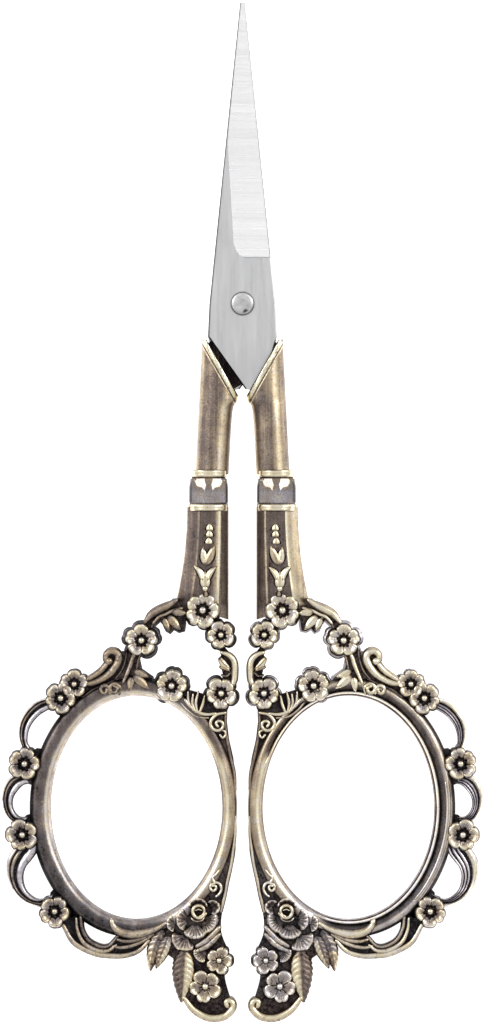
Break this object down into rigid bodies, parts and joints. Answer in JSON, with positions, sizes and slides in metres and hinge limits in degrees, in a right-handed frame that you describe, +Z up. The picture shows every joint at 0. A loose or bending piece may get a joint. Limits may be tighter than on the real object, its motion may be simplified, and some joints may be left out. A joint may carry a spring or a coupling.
{
  "type": "embroidery scissors",
  "caption": "Small pointed embroidery scissors: riveted steel blades set in cast antique-brass handles with flowered, openwork oval finger loops; they open about the rivet.",
  "frame": {"origin": "centre of the bounding box on the rest plane, under the closed scissors", "axes": "+Y from the finger loops to the points, +Z up out of the front face, +X to the right handle"},
  "size_m": [0.0604, 0.128, 0.0054],
  "materials": {
    "blade_steel": "satin ground steel",
    "antique_brass": "antique brass plating, dark in the recesses and bright on the high spots",
    "rivet_steel": "polished steel with light scuffs"
  },
  "bodies": {
    "front_half": {"front_blade": "blade_steel", "right_handle": "antique_brass", "pivot_rivet": "rivet_steel"},
    "back_half": {"back_blade": "blade_steel", "left_handle": "antique_brass"}
  },
  "joints": [
    {"name": "blade_pivot", "type": "hinge", "parent": "front_half", "child": "back_half", "pos_m": [0, 0.02616, 0.0027], "axis": [0, 0, -1], "range_deg": [0, 90]}
  ]
}
